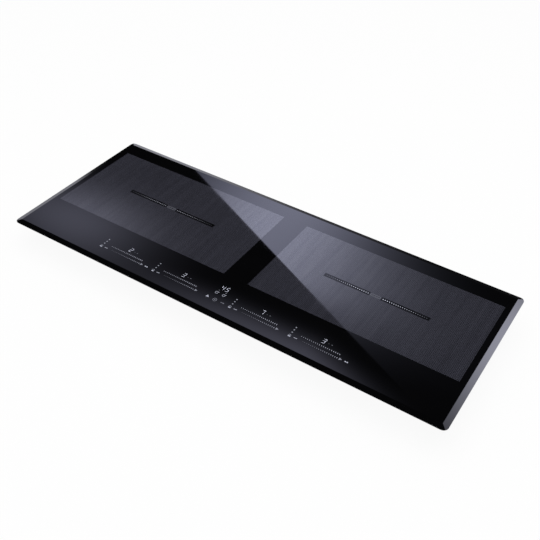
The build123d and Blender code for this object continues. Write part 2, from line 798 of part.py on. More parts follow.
# Terminal cover: a plate that swings down about a pin along its front edge
cover_length = window_length - 2 * cover_gap
cover_front = cover_axis_y - cover_pin_radius
cover_depth = window_back - cover_gap - cover_front
cover_bottom = -casing_height + cover_recess
pin_length = window_length + 2 * terminal_wall
with BuildPart() as terminal_cover:
    with BuildSketch(Plane((terminal_x, cover_front + cover_depth / 2, cover_bottom))):
        Rectangle(cover_length, cover_depth)
        with Locations((0, cover_depth / 2)):
            SlotOverall(*cover_notch, mode=Mode.SUBTRACT)
    extrude(amount=cover_thickness)
    with BuildSketch(Plane.YZ.offset(terminal_x - cover_length / 2)):
        with Locations((cover_axis_y, cover_axis_z)):
            Rectangle(2 * cover_pin_radius, cover_axis_z - cover_bottom, align=(Align.CENTER, Align.MAX))
    extrude(amount=cover_length)
    with BuildSketch(Plane.YZ.offset(terminal_x - pin_length / 2)):
        with Locations((cover_axis_y, cover_axis_z)):
            Circle(cover_pin_radius)
    extrude(amount=pin_length)
save(terminal_cover.part, "terminal_cover")

# Cable grommet: a rubber bush with a flange on each face of the casing's back wall
grommet_plane = Plane((cable_x, rim_depth / 2, cable_height), (1, 0, 0), (0, -1, 0))
flange_height = (grommet_length - casing_sheet) / 2
with BuildPart() as cable_grommet:
    with BuildSketch(grommet_plane.offset(-flange_height)):
        Circle(groove_radius - grommet_fit)
        Circle(cable_radius, mode=Mode.SUBTRACT)
    extrude(amount=grommet_length)
    for height in (-flange_height, casing_sheet):
        with BuildSketch(grommet_plane.offset(height)):
            Circle(groove_radius + grommet_flange)
            Circle(cable_radius, mode=Mode.SUBTRACT)
        extrude(amount=flange_height)
save(cable_grommet.part, "cable_grommet")

# Inner mains leads from the terminal box to the plug of each board
plug_height = floor_top + lead_floor_gap + lead_radius
lead_y = back_inner - lead_wall_gap
near_x = -mains_plug_x
far_x = mains_plug_x
box_right = terminal_x + terminal_length / 2
with BuildPart() as mains_leads:
    for end_x, start_y in ((near_x, lead_y - 4 * lead_radius), (far_x, lead_y)):
        with BuildLine() as lead_path:
            FilletPolyline(
                (box_right, start_y, plug_height),
                (end_x, start_y, plug_height),
                (end_x, board_back, plug_height),
                radius=lead_bend_radius,
            )
        with BuildSketch(Plane((box_right, start_y, plug_height), (0, 1, 0), (1, 0, 0))):
            Circle(lead_radius)
        sweep(path=lead_path.wire())
save(mains_leads.part, "mains_leads")

# Worktop clamps: a plate under the ledge, a leg and a foot that swings out under the worktop
clamp_top = -ledge_height - clamp_play
clamp_names = {(-1, -1): "front_left", (1, -1): "front_right", (-1, 1): "rear_left", (1, 1): "rear_right"}
for (side_sign, end_sign), clamp_name in clamp_names.items():
    pivot = (side_sign * clamp_x, end_sign * clamp_y)
    inwards = -end_sign
    with BuildPart() as worktop_clamp:
        with BuildSketch(Plane((pivot[0], pivot[1], clamp_top - clamp_sheet))):
            Circle(clamp_width / 2)
            with Locations((0, inwards * clamp_leg_offset / 2)):
                Rectangle(clamp_width, clamp_leg_offset)
        extrude(amount=clamp_sheet)
        with Locations((pivot[0], pivot[1] + inwards * (clamp_leg_offset - clamp_sheet / 2), clamp_top)):
            Box(clamp_width, clamp_sheet, clamp_drop + clamp_sheet, align=under_seat)
        foot_length = clamp_reach - clamp_leg_offset + clamp_sheet
        foot_y = pivot[1] + inwards * (clamp_leg_offset - clamp_sheet + foot_length / 2)
        with BuildSketch(Plane((pivot[0], foot_y, clamp_top - clamp_drop - clamp_sheet))):
            RectangleRounded(clamp_width, foot_length, clamp_foot_corner)
        extrude(amount=clamp_sheet)
        with BuildSketch(Plane((pivot[0], pivot[1], clamp_top - clamp_sheet))):
            Circle(clamp_hole_radius)
        extrude(amount=clamp_sheet, mode=Mode.SUBTRACT)
    save(worktop_clamp.part, f"worktop_clamp_{clamp_name}")

clamp_seat = clamp_top - clamp_sheet - clamp_play
clamp_screw_places = [
    Location((sx * clamp_x, sy * clamp_y, clamp_seat), (180, 0, 0)) for sx, sy in clamp_names
]
clamp_shank = -ledge_height + casing_sheet + clamp_thread_spare - clamp_seat
save(screw_group(clamp_screw_places, clamp_screw, clamp_shank), "clamp_screws")
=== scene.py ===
# Looks of the induction cooktop: black glass with its prints and lit marks, over a steel casing.
import json
import math

import bpy
import numpy as np
from mathutils import Matrix, Vector


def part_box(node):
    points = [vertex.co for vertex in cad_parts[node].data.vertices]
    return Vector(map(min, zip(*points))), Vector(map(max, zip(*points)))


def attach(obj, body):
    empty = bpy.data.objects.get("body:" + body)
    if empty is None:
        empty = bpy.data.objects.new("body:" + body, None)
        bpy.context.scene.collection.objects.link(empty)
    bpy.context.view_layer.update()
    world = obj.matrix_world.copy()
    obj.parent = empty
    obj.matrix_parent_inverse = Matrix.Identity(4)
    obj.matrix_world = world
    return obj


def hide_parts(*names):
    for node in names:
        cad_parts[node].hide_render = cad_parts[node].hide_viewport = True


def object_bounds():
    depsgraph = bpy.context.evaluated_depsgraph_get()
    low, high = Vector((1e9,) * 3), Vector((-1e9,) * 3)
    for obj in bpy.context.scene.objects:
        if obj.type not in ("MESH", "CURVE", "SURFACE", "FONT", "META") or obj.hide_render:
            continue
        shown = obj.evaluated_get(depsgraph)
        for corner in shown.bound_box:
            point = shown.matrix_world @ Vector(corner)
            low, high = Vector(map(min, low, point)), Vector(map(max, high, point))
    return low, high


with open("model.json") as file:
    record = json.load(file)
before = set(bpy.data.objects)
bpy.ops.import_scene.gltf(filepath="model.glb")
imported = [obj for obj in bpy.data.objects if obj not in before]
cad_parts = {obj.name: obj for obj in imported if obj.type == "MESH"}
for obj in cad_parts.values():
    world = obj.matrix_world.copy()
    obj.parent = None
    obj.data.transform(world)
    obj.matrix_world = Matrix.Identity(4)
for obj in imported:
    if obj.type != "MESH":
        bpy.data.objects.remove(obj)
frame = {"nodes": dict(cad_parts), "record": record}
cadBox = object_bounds()
mm = 0.001
_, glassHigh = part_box("glass_top")
glassTop = glassHigh.z
print("frame loaded:", len(frame["nodes"]), "nodes")


# Small helpers for node trees

cloudSpan = (0.3, 0.7)  # most values of a noise cloud lie between these


def addNode(tree, kind, inputs=None, out=0, **settings):
    # makes one node; an input is a plain value or the output of another node
    node = tree.nodes.new(kind)
    for key, value in settings.items():
        setattr(node, key, value)
    for key, value in (inputs or {}).items():
        if isinstance(value, bpy.types.NodeSocket):
            tree.links.new(value, node.inputs[key])
        else:
            node.inputs[key].default_value = value
    return node.outputs[out]


def doMath(tree, operation, *values):
    return addNode(tree, "ShaderNodeMath", dict(enumerate(values)), operation=operation)


def doVector(tree, operation, *values):
    out = 1 if operation in ("LENGTH", "DOT_PRODUCT", "DISTANCE") else 0
    return addNode(tree, "ShaderNodeVectorMath", dict(enumerate(values)), out, operation=operation)


def mixColour(tree, share, first, second):
    node = tree.nodes.new("ShaderNodeMix")
    node.data_type = "RGBA"
    for socket, value in ((node.inputs[0], share), (node.inputs[6], first), (node.inputs[7], second)):
        if isinstance(value, bpy.types.NodeSocket):
            tree.links.new(value, socket)
        else:
            socket.default_value = value if socket.type == "VALUE" else (*value, 1.0)
    return node.outputs[2]


def mapRange(tree, value, low, high, outLow, outHigh, smooth=False):
    inputs = {"Value": value, "From Min": low, "From Max": high, "To Min": outLow, "To Max": outHigh}
    kind = "SMOOTHSTEP" if smooth else "LINEAR"
    return addNode(tree, "ShaderNodeMapRange", inputs, interpolation_type=kind)


def mixShares(tree, first, second, share):
    # share of the first value, and the rest of the second
    return doMath(tree, "MULTIPLY_ADD", first, share, doMath(tree, "MULTIPLY", second, 1 - share))


def addCloud(tree, place, scale, detail):
    return addNode(tree, "ShaderNodeTexNoise", {0: place, "Scale": scale, "Detail": detail})


def splitAxes(tree, vector):
    node = tree.nodes.new("ShaderNodeSeparateXYZ")
    tree.links.new(vector, node.inputs[0])
    return node.outputs


def newFinish(name):
    # an empty principled material: its tree, its shader and its object coordinates
    material = bpy.data.materials.new(name)
    material.use_nodes = True
    tree = material.node_tree
    shader = tree.nodes["Principled BSDF"]
    place = addNode(tree, "ShaderNodeTexCoord", out="Object")
    return material, tree, shader, place


def addBump(tree, shader, height, strength, depth):
    inputs = {"Height": height, "Strength": strength, "Distance": depth}
    tree.links.new(addNode(tree, "ShaderNodeBump", inputs), shader.inputs["Normal"])


# Finishes of the glass, its prints and its lamps

glassLook = {
    "dark": (0.0012, 0.0012, 0.0014),
    "light": (0.0019, 0.0019, 0.0023),
    "polish": (0.016, 0.04),  # roughness from wiped clean to faintly smeared
    "smears": 7.0,  # in a metre
    "smearTurn": (0, 0, 0.5),
    "smearStretch": (1, 3, 1),
    "smearSpan": (0.35, 0.7),  # part of the cloud in which a smear builds up
    "ior": 1.5,
}


def smearedPolish(tree, shader, place):
    # faint wiping marks: a stretched cloud moves the roughness a little
    look = glassLook
    inputs = {0: place, "Rotation": look["smearTurn"], "Scale": look["smearStretch"]}
    cloud = addCloud(tree, addNode(tree, "ShaderNodeMapping", inputs), look["smears"], detail=4.0)
    rough = mapRange(tree, cloud, *look["smearSpan"], *look["polish"])
    tree.links.new(rough, shader.inputs["Roughness"])
    shader.inputs["IOR"].default_value = look["ior"]
    return cloud


def makeBlackGlass():
    material, tree, shader, place = newFinish("blackGlass")
    cloud = smearedPolish(tree, shader, place)
    colour = mixColour(tree, cloud, glassLook["dark"], glassLook["light"])
    tree.links.new(colour, shader.inputs["Base Color"])
    return material


printLook = {
    "ink": (0.0468, 0.0470, 0.0626),
    "inkDark": (0.0416, 0.0418, 0.0557),
    "gap": (0.0130, 0.0130, 0.0173),
    "meshPitch": 2.75 * mm,
    "gapShare": 0.14,  # bare line between two squares of ink
    "gapSoft": 0.3,
    "streakWidth": 9.0 * mm,
    "streakLength": 160.0 * mm,
    "streakMetal": (0.02, 0.26),  # share of metal flakes in the ink
    "ior": 1.69,  # the ink mirrors a little more than the bare glass
    "mirrorTint": (1.0, 1.0, 0.94),
}


def makeMeshPrint():
    # a fine square screen of grey ink, whose metal flakes lie in faint streaks from front to back
    material, tree, shader, place = newFinish("meshPrint")
    smearedPolish(tree, shader, place)
    shader.inputs["IOR"].default_value = printLook["ior"]
    shader.inputs["Specular Tint"].default_value = (*printLook["mirrorTint"], 1.0)
    inputs = {
        0: place,
        "Color1": (*printLook["ink"], 1.0),
        "Color2": (*printLook["inkDark"], 1.0),
        "Mortar": (*printLook["gap"], 1.0),
        "Scale": 1.0,
        "Mortar Size": printLook["meshPitch"] * printLook["gapShare"],
        "Mortar Smooth": printLook["gapSoft"],
        "Brick Width": printLook["meshPitch"],
        "Row Height": printLook["meshPitch"],
    }
    screen = addNode(tree, "ShaderNodeTexBrick", inputs, offset=0.0, squash=1.0)
    tree.links.new(screen, shader.inputs["Base Color"])
    stretch = (1 / printLook["streakWidth"], 1 / printLook["streakLength"], 1.0)
    stretched = addNode(tree, "ShaderNodeMapping", {0: place, "Scale": stretch})
    streak = addCloud(tree, stretched, 1.0, detail=3.0)
    metal = mapRange(tree, streak, *cloudSpan, *printLook["streakMetal"])
    tree.links.new(metal, shader.inputs["Metallic"])
    return material


barInkLook = {
    "dark": (0.0010, 0.0010, 0.0012),
    "light": (0.0024, 0.0024, 0.0029),
    "grain": 0.7 * mm,
    "ior": 1.37,  # dull ink mirrors less than the bare glass round it
}


def makeBarInk():
    # black ink with a fine grain, under the same wiping marks as the glass
    material, tree, shader, place = newFinish("barInk")
    smearedPolish(tree, shader, place)
    shader.inputs["IOR"].default_value = barInkLook["ior"]
    grain = addCloud(tree, place, 1 / barInkLook["grain"], detail=2.0)
    colour = mixColour(tree, grain, barInkLook["dark"], barInkLook["light"])
    tree.links.new(colour, shader.inputs["Base Color"])
    return material


lampLook = {
    "tint": (0.86, 0.88, 1.0),
    "edgeTint": (0.60, 0.63, 0.78),
    "cellPitch": 0.9 * mm,  # grain of the diffuser over the lamps
}


def makeLitMark():
    # light through the glass: each mark carries its own level, and the diffuser's grain varies it
    material, tree, shader, place = newFinish("litMark")
    smearedPolish(tree, shader, place)
    shader.inputs["Base Color"].default_value = (*glassLook["dark"], 1.0)
    shader.inputs["Emission Strength"].default_value = 1.0
    level = addNode(tree, "ShaderNodeAttribute", out="Fac", attribute_name="level")
    grain = addCloud(tree, place, 1 / lampLook["cellPitch"], detail=1.0)
    tint = mixColour(tree, grain, lampLook["edgeTint"], lampLook["tint"])
    lit = doVector(tree, "SCALE", tint)
    tree.links.new(level, lit.node.inputs["Scale"])
    tree.links.new(lit, shader.inputs["Emission Color"])
    return material


blackGlass = makeBlackGlass()
meshPrint = makeMeshPrint()
barInk = makeBarInk()
litMark = makeLitMark()
print("glass finishes made")


# Flat marks on the glass: thin plates and strokes, drawn in millimetres

markLook = {
    "sink": 0.02 * mm,  # a mark's foot lies this deep in the glass
    "film": 0.05 * mm,  # thickness of one layer of print
    "rimRise": 0.4,  # height of the rim over the shoulder, in films
    "rimDraw": 0.03 * mm,  # how far the top edge of a mark is drawn in
}


def tubeFaces(index):
    # four-cornered faces between the rows of a grid of points, whose columns go round
    beside = np.roll(index, -1, axis=1)
    return np.stack([index[:-1], beside[:-1], beside[1:], index[1:]], axis=-1).reshape(-1, 4)


def plateShell(outline, layer=1):
    # rows are foot, shoulder and rim of a thin plate, columns go round its outline: each row is the
    # outline, drawn in a little at the rim, at that row's height; layers are counted from the glass up
    outline = np.asarray(outline, float) * mm
    middle = outline.mean(axis=0)
    film = markLook["film"]
    rises = np.array([-markLook["sink"], layer * film, (layer + markLook["rimRise"]) * film])
    heights = glassTop + rises
    reach = np.abs(outline - middle).max(axis=0)
    drawn = 1.0 - np.array([0.0, 0.0, markLook["rimDraw"]])[:, None] / reach
    flat = middle + (outline - middle)[None] * drawn[:, None]
    tall = np.broadcast_to(heights[:, None, None], (*flat.shape[:2], 1))
    points = np.concatenate([flat, tall], axis=2)
    index = np.arange(len(heights) * len(outline)).reshape(len(heights), len(outline))
    return points.reshape(-1, 3), (tubeFaces(index), index[-1:], index[:1, ::-1])


def strokeShell(path, width, layer=1, closed=False):
    # a flat section of four corners carried along a path: every point of the path is moved to both
    # sides by half the width, along the normal of the path's own direction
    path = np.asarray(path, float) * mm
    if closed:
        ahead = np.roll(path, -1, axis=0) - np.roll(path, 1, axis=0)
    else:
        ahead = np.gradient(path, axis=0)
    ahead /= np.linalg.norm(ahead, axis=1, keepdims=True)
    across = np.stack([-ahead[:, 1], ahead[:, 0]], axis=1) * width * mm / 2
    foot = glassTop - markLook["sink"]
    top = glassTop + (layer + markLook["rimRise"]) * markLook["film"]
    sides = np.array([-1.0, 1.0, 1.0, -1.0])
    heights = np.array([foot, foot, top, top])
    flat = path[:, None] + across[:, None] * sides[None, :, None]
    tall = np.broadcast_to(heights[None, :, None], (len(path), 4, 1))
    points = np.concatenate([flat, tall], axis=2)
    index = np.arange(len(path) * 4).reshape(len(path), 4)
    if closed:
        faces = (tubeFaces(np.concatenate([index, index[:1]])),)
    else:
        faces = (tubeFaces(index), index[:1, ::-1], index[-1:])
    return points.reshape(-1, 3), faces


def makePiece(name, shells, finish, body, levels=None):
    # joins shells into one mesh; a shell is its points and arrays of faces with equal corner counts,
    # and a level for each shell goes to its points as an attribute
    counts = [len(points) for points, _ in shells]
    points = np.concatenate([points for points, _ in shells])
    faces = []
    for start, (_, groups) in zip(np.cumsum([0] + counts), shells):
        for group in groups:
            faces += (group + start).tolist()
    mesh = bpy.data.meshes.new(name)
    mesh.from_pydata(points.tolist(), [], faces)
    if levels is not None:
        attribute = mesh.attributes.new("level", "FLOAT", "POINT")
        attribute.data.foreach_set("value", np.repeat(np.asarray(levels, np.float32), counts))
    mesh.materials.append(finish)
    mesh.update()
    piece = bpy.data.objects.new(name, mesh)
    bpy.context.scene.collection.objects.link(piece)
    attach(piece, body)
    return piece


def boxOutline(centre, width, depth):
    half = np.array([[-1, -1], [1, -1], [1, 1], [-1, 1]]) / 2
    return np.asarray(centre, float) + half * (width, depth)


def discOutline(centre, radius, count=16):
    turn = np.linspace(0, 2 * np.pi, count, endpoint=False)
    return np.asarray(centre, float) + radius * np.stack([np.cos(turn), np.sin(turn)], axis=1)


def pillOutline(centre, length, depth, count=8):
    # two half circles, one at each end of a straight middle
    turn = np.linspace(-np.pi / 2, np.pi / 2, count)
    right = np.stack([np.cos(turn), np.sin(turn)], axis=1) * depth / 2 + ((length - depth) / 2, 0)
    return np.asarray(centre, float) + np.concatenate([right, -right])


# Cooking areas: two screens of ink, each with a dark bar, a row of light dots and a middle mark

zoneLook = {
    "halfGap": 26.0,  # from the middle of the glass to each screen
    "width": 402.2,
    "depth": 205.8,
    "centreY": 29.25,
    "barShift": 1.1,  # the bars lie a little right of the middle
    "barY": 28.4,
    "barLength": 207.0,
    "barDepth": 9.2,
    "barGap": 23.0,
    "dotFirst": 0.8,  # pitches from the end of an arm to its first dot
    "dotPitch": 4.15,
    "dotRadius": 0.78,
    "dotCount": 21,
    "dotLevels": {"left": 0.7, "right": 1.2},
    "dotFade": 0.6405,  # share of the row at which a dot has faded to about a third
    "markLength": 19.0,
    "markDepth": 5.0,
    "markLine": 1.0,
    "markDots": (-4.5, 0.0, 4.5),
    "markDotRadius": 0.8,
    "markLevel": 0.16,
}


def makeZone(side, sign):
    look = zoneLook
    centre = np.array([sign * (look["halfGap"] + look["width"] / 2), look["centreY"]])
    screen = plateShell(boxOutline(centre, look["width"], look["depth"]))
    makePiece(f"zone_print_{side}", [screen], meshPrint, "hob")
    centre = np.array([centre[0] + look["barShift"], look["barY"]])
    armLength = (look["barLength"] - look["barGap"]) / 2
    armMiddle = np.array([(look["barGap"] + armLength) / 2, 0])
    arms = [boxOutline(centre + way * armMiddle, armLength, look["barDepth"]) for way in (-1, 1)]
    shells = [plateShell(arm, layer=2) for arm in arms]
    makePiece(f"zone_bar_{side}", shells, barInk, "hob")
    step = np.arange(look["dotCount"])
    reach = look["barGap"] / 2 + look["dotPitch"] * (step + look["dotFirst"])
    shine = look["dotLevels"][side] * np.exp(-((step / look["dotCount"] / look["dotFade"]) ** 2))
    dots = [
        plateShell(discOutline(centre + (way * distance, 0), look["dotRadius"]), layer=3)
        for way in (-1, 1)
        for distance in reach
    ]
    makePiece(f"zone_dots_{side}", dots, litMark, "hob", np.tile(shine, 2))
    ring = pillOutline(centre, look["markLength"], look["markDepth"])
    inner = [discOutline(centre + (shift, 0), look["markDotRadius"]) for shift in look["markDots"]]
    shells = [strokeShell(ring, look["markLine"], layer=2, closed=True)]
    shells += [plateShell(dot, layer=2) for dot in inner]
    levels = [look["markLevel"]] * len(shells)
    makePiece(f"zone_mark_{side}", shells, litMark, "hob", levels)


for side, sign in (("left", -1), ("right", 1)):
    makeZone(side, sign)
print("cooking areas printed")


# Touch controls: four sliders with their marks, and the timer in the middle

sliderLook = {
    "starts": (-259.1, -135.8, 33.1, 154.0),
    "dotRows": (-116.6, -123.2, -129.75),
    "dotRadius": 1.3,
    "dotLevel": 0.35,
    "iconY": -138.75,
    "potSize": (4.6, 2.4),  # a pot: its body, and a lid drawn over it
    "potLevel": 0.54,
    "lidRise": (0.35, 0.75),  # foot of the lid and height of its arch, in heights of the pot
    "lidSteps": 9,
    "lidLine": 0.8,
    "lidLevel": 0.378,
    "dashShift": 10.9,
    "dashSize": (5.6, 1.3),
    "dashLevel": 0.42,
    "dashEnd": 0.95,  # radius of the disc at its right end
    "dashEndRise": 0.4,
    "tickShift": 18.15,  # first tick from the column of dots
    "tickCount": 20,
    "tickPitch": 3.78,
    "tickWidth": 0.75,
    "upperY": -129.3,
    "upperHeight": (1.2, 2.7),
    "upperLevel": (0.63, 0.62),
    "lowerY": -138.3,
    "lowerFrom": 2,
    "lowerHeight": (0.8, 1.9),
    "lowerLevel": (0.10, 0.76),
    "arrowShift": 96.1,
    "arrowSize": 5.2,
    "arrowLevel": 0.30,
    "arrowRise": 0.85,  # arrow and link stand a little higher than the other marks
    "linkShift": 106.85,
    "linkSize": 2.4,
    "linkGap": 3.6,
    "linkLevel": 0.60,
    "linked": (0, 3),  # sliders that carry the link mark
}
digitLook = {
    "shown": ("2", "3", "7", "3"),
    "shift": 54.3,  # from the column of dots to the digit
    "centreY": -117.4,
    "size": (4.8, 10.0),
    "stroke": 0.37,
    "endGap": 0.06475,  # left open at both ends of a stroke
    "slant": 0.10,
    "level": 1.5,
    "sideShifts": (9.5, 15.5),  # two faint marks right of the digit
    "sideRise": -1.0,
    "sideSize": (2.4, 1.2),
    "sideLevels": (0.08, 0.18),
}
segmentEnds = {  # corners of a digit's seven strokes in shares of its width and height
    "a": ((0.0, 1.0), (1.0, 1.0)),
    "b": ((1.0, 1.0), (1.0, 0.5)),
    "c": ((1.0, 0.5), (1.0, 0.0)),
    "d": ((0.0, 0.0), (1.0, 0.0)),
    "e": ((0.0, 0.5), (0.0, 0.0)),
    "f": ((0.0, 1.0), (0.0, 0.5)),
    "g": ((0.0, 0.5), (1.0, 0.5)),
}
digitStrokes = {"2": "abged", "3": "abgcd", "4": "fgbc", "5": "afgcd", "7": "abc"}


def digitShells(digit, centre):
    # each stroke is a bar with pointed ends between two corners of the digit, leaning by the slant
    width, height = digitLook["size"]
    shells = []
    for stroke in digitStrokes[digit]:
        ends = (np.array(segmentEnds[stroke]) - 0.5) * (width, height)
        ends[:, 0] += ends[:, 1] * digitLook["slant"]
        along = (ends[1] - ends[0]) / np.linalg.norm(ends[1] - ends[0])
        across = np.array([-along[1], along[0]])
        half = digitLook["stroke"] / 2
        start = ends[0] + along * digitLook["endGap"]
        finish = ends[1] - along * digitLook["endGap"]
        outline = [
            start,
            start + (along - across) * half,
            finish - (along + across) * half,
            finish,
            finish - (along - across) * half,
            start + (along + across) * half,
        ]
        shells.append(plateShell(np.array(outline) + centre))
    return shells


arrowCorners = np.array([[-0.5, -0.52], [0.55, 0.0], [-0.5, 0.52]])  # in sizes of the arrow


def arrowOutline(centre, size, turn=0.0):
    # a triangle with its point to the right, turned about its middle
    lean = np.array([[math.cos(turn), math.sin(turn)], [-math.sin(turn), math.cos(turn)]])
    return np.asarray(centre, float) + arrowCorners * size @ lean


def makeSlider(number, start):
    look = sliderLook
    step = np.arange(look["tickCount"])
    share = step / (look["tickCount"] - 1)
    places = start + look["tickShift"] + look["tickPitch"] * step
    rows = (("upper", 0), ("lower", look["lowerFrom"]))
    shells = []
    levels = []
    for row, first in rows:
        for place, part in zip(places[first:], share[first:]):
            height = np.interp(part, (0, 1), look[row + "Height"])
            tick = boxOutline((place, look[row + "Y"]), look["tickWidth"], height)
            shells.append(plateShell(tick))
            levels.append(np.interp(part, (0, 1), look[row + "Level"]))
    makePiece(f"slider_ticks_{number}", shells, litMark, "hob", levels)

    shells = [plateShell(discOutline((start, row), look["dotRadius"])) for row in look["dotRows"]]
    levels = [look["dotLevel"]] * len(shells)
    length, height = look["potSize"]
    shells.append(plateShell(boxOutline((start, look["iconY"] - height / 2), length, height)))
    arch = np.linspace(0, np.pi, look["lidSteps"])
    foot, rise = look["lidRise"]
    lid = np.stack([length / 2 * np.cos(arch), height * (foot + rise * np.sin(arch))], axis=1)
    shells.append(strokeShell(lid + (start, look["iconY"]), look["lidLine"]))
    levels += [look["potLevel"], look["lidLevel"]]
    dash = np.array([start + look["dashShift"], look["iconY"]])
    shells.append(plateShell(pillOutline(dash, *look["dashSize"])))
    end = dash + (look["dashSize"][0] / 2, look["dashEndRise"])
    shells.append(plateShell(discOutline(end, look["dashEnd"]), layer=2))
    levels += [look["dashLevel"], look["dashLevel"]]
    arrowY = look["iconY"] + look["arrowRise"]
    shells.append(plateShell(arrowOutline((start + look["arrowShift"], arrowY), look["arrowSize"])))
    levels.append(look["arrowLevel"])
    if number - 1 in look["linked"]:
        middle = start + look["linkShift"]
        size = look["linkSize"]
        for place in (middle - look["linkGap"] / 2, middle + look["linkGap"] / 2):
            shells.append(plateShell(boxOutline((place, arrowY), size, size)))
            levels.append(look["linkLevel"])
    makePiece(f"slider_icons_{number}", shells, litMark, "hob", levels)

    centre = np.array([start + digitLook["shift"], digitLook["centreY"]])
    shells = digitShells(digitLook["shown"][number - 1], centre)
    levels = [digitLook["level"]] * len(shells)
    for shift, level in zip(digitLook["sideShifts"], digitLook["sideLevels"]):
        side = pillOutline(centre + (shift, digitLook["sideRise"]), *digitLook["sideSize"])
        shells.append(plateShell(side))
        levels.append(level)
    makePiece(f"level_digit_{number}", shells, litMark, "hob", levels)


timerLook = {
    "digits": (("4", -3.6), ("5", 5.8)),
    "digitY": -105.65,
    "rings": ((-6.7, -121.4), (8.1, -121.4)),
    "ringRadius": 2.6,
    "ringSteps": 24,
    "ringLine": 0.65,
    "ringLevel": 0.60,
    "handFrom": (2.0, 1.6),  # a short hand that reaches out past the ring
    "handTo": (4.0, 3.1),
    "handWidth": 0.7,
    "pointShift": (0.2, 7.1),  # a lamp point between each ring and its digit
    "pointRadius": 0.8,
    "pointLevels": (0.20, 0.50),
    "startAt": (-13.8, -138.3),
    "startSize": 5.6,
    "startTurn": -0.3,
    "startLevel": 0.56,
    "lockAt": (1.35, -138.4),
    "lockRadius": 3.5,
    "lockLine": 0.6,
    "lockSize": (2.0, 1.3),
    "lockLevel": 0.34,
    "dashAt": (16.3, -138.1),
    "dashSize": (6.4, 1.2),
    "dashEnd": 1.3,
    "dashLevel": 0.20,
}


def makeTimer():
    look = timerLook
    shells = []
    for digit, place in look["digits"]:
        shells += digitShells(digit, np.array([place, look["digitY"]]))
    levels = [digitLook["level"]] * len(shells)
    makePiece("timer_digits", shells, litMark, "hob", levels)
    shells = []
    levels = []
    for ring, pointLevel in zip(look["rings"], look["pointLevels"]):
        centre = np.array(ring)
        circle = discOutline(centre, look["ringRadius"], look["ringSteps"])
        hand = [centre + look["handFrom"], centre + look["handTo"]]
        shells.append(strokeShell(circle, look["ringLine"], closed=True))
        shells.append(strokeShell(hand, look["handWidth"]))
        shells.append(plateShell(discOutline(centre + look["pointShift"], look["pointRadius"])))
        levels += [look["ringLevel"], look["ringLevel"], pointLevel]
    arrow = arrowOutline(look["startAt"], look["startSize"], look["startTurn"])
    shells.append(plateShell(arrow))
    levels.append(look["startLevel"])
    circle = discOutline(look["lockAt"], look["lockRadius"], look["ringSteps"])
    shells.append(strokeShell(circle, look["lockLine"], closed=True))
    shells.append(plateShell(boxOutline(look["lockAt"], *look["lockSize"])))
    levels += [look["lockLevel"], look["lockLevel"]]
    dash = np.array(look["dashAt"])
    shells.append(plateShell(pillOutline(dash, *look["dashSize"])))
    end = dash + (look["dashSize"][0] / 2, 0)
    shells.append(plateShell(discOutline(end, look["dashEnd"]), layer=2))
    levels += [look["dashLevel"], look["dashLevel"]]
    makePiece("timer_icons", shells, litMark, "hob", levels)


for number, start in enumerate(sliderLook["starts"], start=1):
    makeSlider(number, start)
makeTimer()
print("touch controls drawn")


# Foam seal and silicone bead: a soft section carried round a rectangle with round corners

softLook = {
    "sealWidth": 10.0,
    "sealCorners": (0.8, 7.0),  # radius at the inner and the outer edge
    "beadWidth": 6.0,
    "beadCorners": (0.8, 6.0),
    "cornerSteps": 12,
    "roundPower": 5.0,  # 2 is an ellipse, higher comes nearer to a box
    "sectionSteps": 20,
}


def softRing(name, width, corners):
    # the section is a soft box, |x/a|^p + |y/b|^p = 1; each of its points is carried round a rectangle
    # of its own size, whose corner radius grows evenly from the inner to the outer edge
    low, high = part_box(name)
    width *= mm
    inner, outer = np.array(corners) * mm
    turn = np.linspace(0, np.pi / 2, softLook["cornerSteps"])
    quarter = np.stack([np.cos(turn), np.sin(turn)], axis=1)
    quarterTurn = np.array([[0, 1], [-1, 0]])
    arcs = [quarter @ np.linalg.matrix_power(quarterTurn, k) for k in range(4)]
    arcs = np.concatenate(arcs)
    signs = np.repeat([(1, 1), (-1, 1), (-1, -1), (1, -1)], softLook["cornerSteps"], axis=0)
    middle = np.array([(high.x + low.x) / 2, (high.y + low.y) / 2])
    reach = np.array([(high.x - low.x) / 2, (high.y - low.y) / 2]) - width / 2
    angle = np.linspace(0, 2 * np.pi, softLook["sectionSteps"], endpoint=False)
    power = 2 / softLook["roundPower"]
    side = np.sign(np.cos(angle)) * np.abs(np.cos(angle)) ** power * width / 2
    rise = np.sign(np.sin(angle)) * np.abs(np.sin(angle)) ** power * (high.z - low.z) / 2
    corner = ((inner + outer) / 2 + (outer - inner) * side / width)[None, :, None]
    straight = reach + side[None, :, None] - corner
    flat = middle + signs[:, None] * straight + arcs[:, None] * corner
    tall = np.broadcast_to(((high.z + low.z) / 2 + rise)[None, :, None], (*flat.shape[:2], 1))
    points = np.concatenate([flat, tall], axis=2)
    index = np.arange(len(arcs) * len(angle)).reshape(len(arcs), len(angle))
    ahead = np.roll(index, -1, axis=0)
    walls = np.stack([index, ahead, np.roll(ahead, -1, axis=1), np.roll(index, -1, axis=1)], axis=-1)
    return points.reshape(-1, 3), (walls.reshape(-1, 4),)


# Windings: a flat spiral of copper strands twisted into one cable

windingLook = {
    "count": 4,
    "innerRadius": 24.0,
    "pitch": 4.2,
    "turns": 14,
    "wire": 3.4,  # diameter of the whole cable
    "strands": 5,
    "groove": 0.80,  # radius between two strands, as a share of the cable's own
    "twist": 34.0,  # length of cable in which the strands go once round
    "step": 3.0,
    "fineWires": 45,  # thin wires round the cable
    "wireShare": 0.6,  # of the wire stripes in the tone, whose dark grooves between wires are painted shade; the rest is stain
    "wireBump": (0.4, 0.08),  # strength, and depth in millimetres
    "stains": 60.0,  # in a metre
    "copper": (0.60, 0.24, 0.11),
    "copperStainAndGrooveShade": (0.34, 0.115, 0.045),
    "polish": (0.24, 0.42),
}


